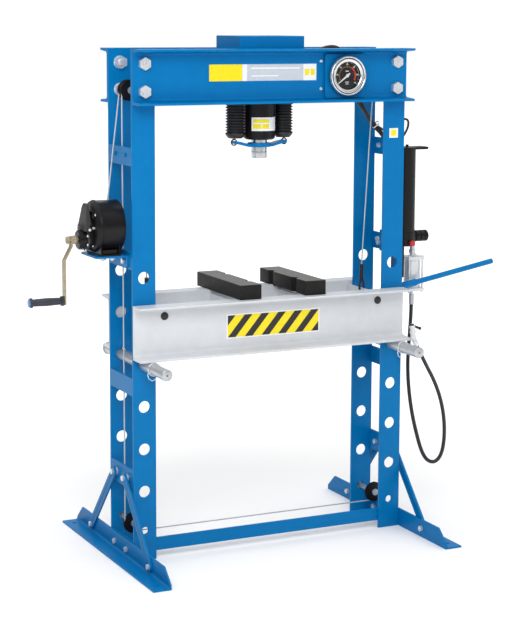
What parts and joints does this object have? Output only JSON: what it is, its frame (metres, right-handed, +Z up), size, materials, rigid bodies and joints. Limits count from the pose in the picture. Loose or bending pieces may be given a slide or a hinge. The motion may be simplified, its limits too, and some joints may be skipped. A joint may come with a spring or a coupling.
{
  "type": "hydraulic workshop press",
  "caption": "Floor-standing two-column hydraulic press: head cylinder with ram, bed on pins raised by a hand winch, pressure gauge and air-over-oil foot pump.",
  "frame": {"origin": "on the floor, at the middle of the four anchor holes, under the ram's axis", "axes": "+X to the operator's right, +Y from the front to the back, +Z up along the ram's axis"},
  "size_m": [1.9349, 0.96, 1.936],
  "materials": {
    "blue_paint": "semi-gloss",
    "grey_paint": "semi-gloss",
    "black_paint": "semi-gloss",
    "zinc": "satin",
    "bright_zinc": "bright",
    "yellow_zinc": "satin",
    "polished_steel": "polished",
    "block_steel": "dark, ground tops",
    "wire_rope": "stranded",
    "rope_sleeve": "matte",
    "black_rubber": "matte",
    "air_hose_rubber": "satin",
    "aluminium": "satin",
    "dial_face": "printed",
    "needle": "matte",
    "glass": "clear",
    "red_plastic": "gloss",
    "grip_plastic": "satin",
    "spring_steel": "bright"
  },
  "bodies": {
    "frame": {"column_posts": "blue_paint", "cross_plates": "blue_paint", "front_beam": "blue_paint", "back_beam": "blue_paint", "feet": "blue_paint", "foot_braces": "blue_paint", "beam_bolts": "bright_zinc", "frame_bolts": "bright_zinc", "head_plate": "blue_paint", "head_box": "blue_paint", "head_cover": "blue_paint", "cylinder_barrel": "black_paint", "gland_nut": "black_paint", "return_springs": "spring_steel", "bellows": "black_rubber", "gauge_plate": "blue_paint", "gauge_case": "black_paint", "gauge_bezel": "polished_steel", "gauge_dial": "dial_face", "gauge_glass": "glass", "support_pins": "zinc", "pin_clips": "bright_zinc", "pulley_axles": "zinc", "steel_ropes": "wire_rope", "top_rope_falls": "wire_rope", "bottom_rope_fall": "wire_rope", "winch_bracket": "blue_paint", "winch_frame": "zinc", "winch_cover": "black_paint", "gear_housing": "black_paint", "pump_bracket": "blue_paint", "pump_head": "black_paint", "oil_tank": "black_paint", "air_cylinder": "aluminium", "hydraulic_hoses": "black_rubber", "air_hose": "air_hose_rubber", "air_valve": "aluminium"},
    "ram_group": {"ram": "polished_steel", "piston": "zinc", "yoke": "blue_paint", "spring_hooks": "bright_zinc"},
    "bed": {"bed_front_channel": "grey_paint", "bed_back_channel": "grey_paint", "bed_cross_plates": "grey_paint", "rope_anchors": "rope_sleeve", "left_v_block": "block_steel", "right_v_block": "block_steel"},
    "drum": {"rope_drum": "zinc"},
    "crank": {"winch_crank": "yellow_zinc"},
    "grip": {"crank_grip": "grip_plastic"},
    "pulley_top_left_lift": {"top_left_lift_pulley": "black_paint"},
    "pulley_top_left_level": {"top_left_level_pulley": "black_paint"},
    "pulley_top_right_lift": {"top_right_lift_pulley": "black_paint"},
    "pulley_bottom_left": {"bottom_left_pulley": "black_paint"},
    "pulley_bottom_right": {"bottom_right_pulley": "black_paint"},
    "needle": {"gauge_needle": "needle"},
    "lever": {"lever_socket": "blue_paint", "pump_lever": "blue_paint"},
    "plunger": {"pump_plunger": "polished_steel"},
    "knob": {"release_knob": "red_plastic"}
  },
  "joints": [
    {"name": "ram_slide", "type": "slide", "parent": "frame", "child": "ram_group", "axis": [0, 0, -1], "range_m": [0, 0.145], "stiffness_N_per_m": 2000, "springref_m": -0.08, "deforming": ["bellows", "return_springs"]},
    {"name": "bed_lift", "type": "slide", "parent": "frame", "child": "bed", "axis": [0, 0, 1], "range_m": [0, 0.3], "deforming": ["top_rope_falls", "bottom_rope_fall"]},
    {"name": "drum_spin", "type": "hinge", "parent": "frame", "child": "drum", "pos_m": [-0.63, 0, 1.243], "axis": [1, 0, 0], "range_deg": [-565, 1]},
    {"name": "crank_spin", "type": "hinge", "parent": "frame", "child": "crank", "pos_m": [-0.76, 0, 1.2], "axis": [1, 0, 0], "range_deg": [-1, 1641]},
    {"name": "grip_spin", "type": "hinge", "parent": "crank", "child": "grip", "pos_m": [-0.85, 0, 0.978], "axis": [1, 0, 0], "continuous": true},
    {"name": "top_left_lift_spin", "type": "hinge", "parent": "frame", "child": "pulley_top_left_lift", "pos_m": [-0.52, 0.0305, 1.738], "axis": [0, 1, 0], "range_deg": [-522, 1]},
    {"name": "top_left_level_spin", "type": "hinge", "parent": "frame", "child": "pulley_top_left_level", "pos_m": [-0.52, 0.008, 1.738], "axis": [0, 1, 0], "range_deg": [-522, 1]},
    {"name": "top_right_lift_spin", "type": "hinge", "parent": "frame", "child": "pulley_top_right_lift", "pos_m": [0.465, 0.012, 1.738], "axis": [0, 1, 0], "range_deg": [-522, 1]},
    {"name": "bottom_left_spin", "type": "hinge", "parent": "frame", "child": "pulley_bottom_left", "pos_m": [-0.52, 0, 0.113], "axis": [0, 1, 0], "range_deg": [-522, 1]},
    {"name": "bottom_right_spin", "type": "hinge", "parent": "frame", "child": "pulley_bottom_right", "pos_m": [0.52, 0, 0.113], "axis": [0, 1, 0], "range_deg": [-522, 1]},
    {"name": "gauge_needle_turn", "type": "hinge", "parent": "frame", "child": "needle", "pos_m": [0.291, -0.15, 1.788], "axis": [0, 1, 0], "range_deg": [0, 256], "stiffness_Nm_per_rad": 0.002, "springref_deg": -28.65},
    {"name": "lever_hinge", "type": "hinge", "parent": "frame", "child": "lever", "pos_m": [0.588, -0.07, 0.955], "axis": [0, -1, 0], "range_deg": [0, 50]},
    {"name": "plunger_slide", "type": "slide", "parent": "frame", "child": "plunger", "axis": [0, 0, 1], "range_m": [0, 0.0166]},
    {"name": "release_turn", "type": "hinge", "parent": "frame", "child": "knob", "pos_m": [0.645, -0.06, 1.122], "axis": [0, 1, 0], "range_deg": [-90, 90]}
  ],
  "couplings": [
    {"joint": "drum_spin", "follows": "bed_lift", "rad_per_m": -32.787},
    {"joint": "crank_spin", "follows": "bed_lift", "rad_per_m": 95.38},
    {"joint": "top_left_lift_spin", "follows": "bed_lift", "rad_per_m": -30.303},
    {"joint": "top_left_level_spin", "follows": "bed_lift", "rad_per_m": -30.303},
    {"joint": "top_right_lift_spin", "follows": "bed_lift", "rad_per_m": -30.303},
    {"joint": "bottom_left_spin", "follows": "bed_lift", "rad_per_m": -30.303},
    {"joint": "bottom_right_spin", "follows": "bed_lift", "rad_per_m": -30.303},
    {"joint": "plunger_slide", "follows": "lever_hinge", "m_per_rad": 0.01895}
  ]
}
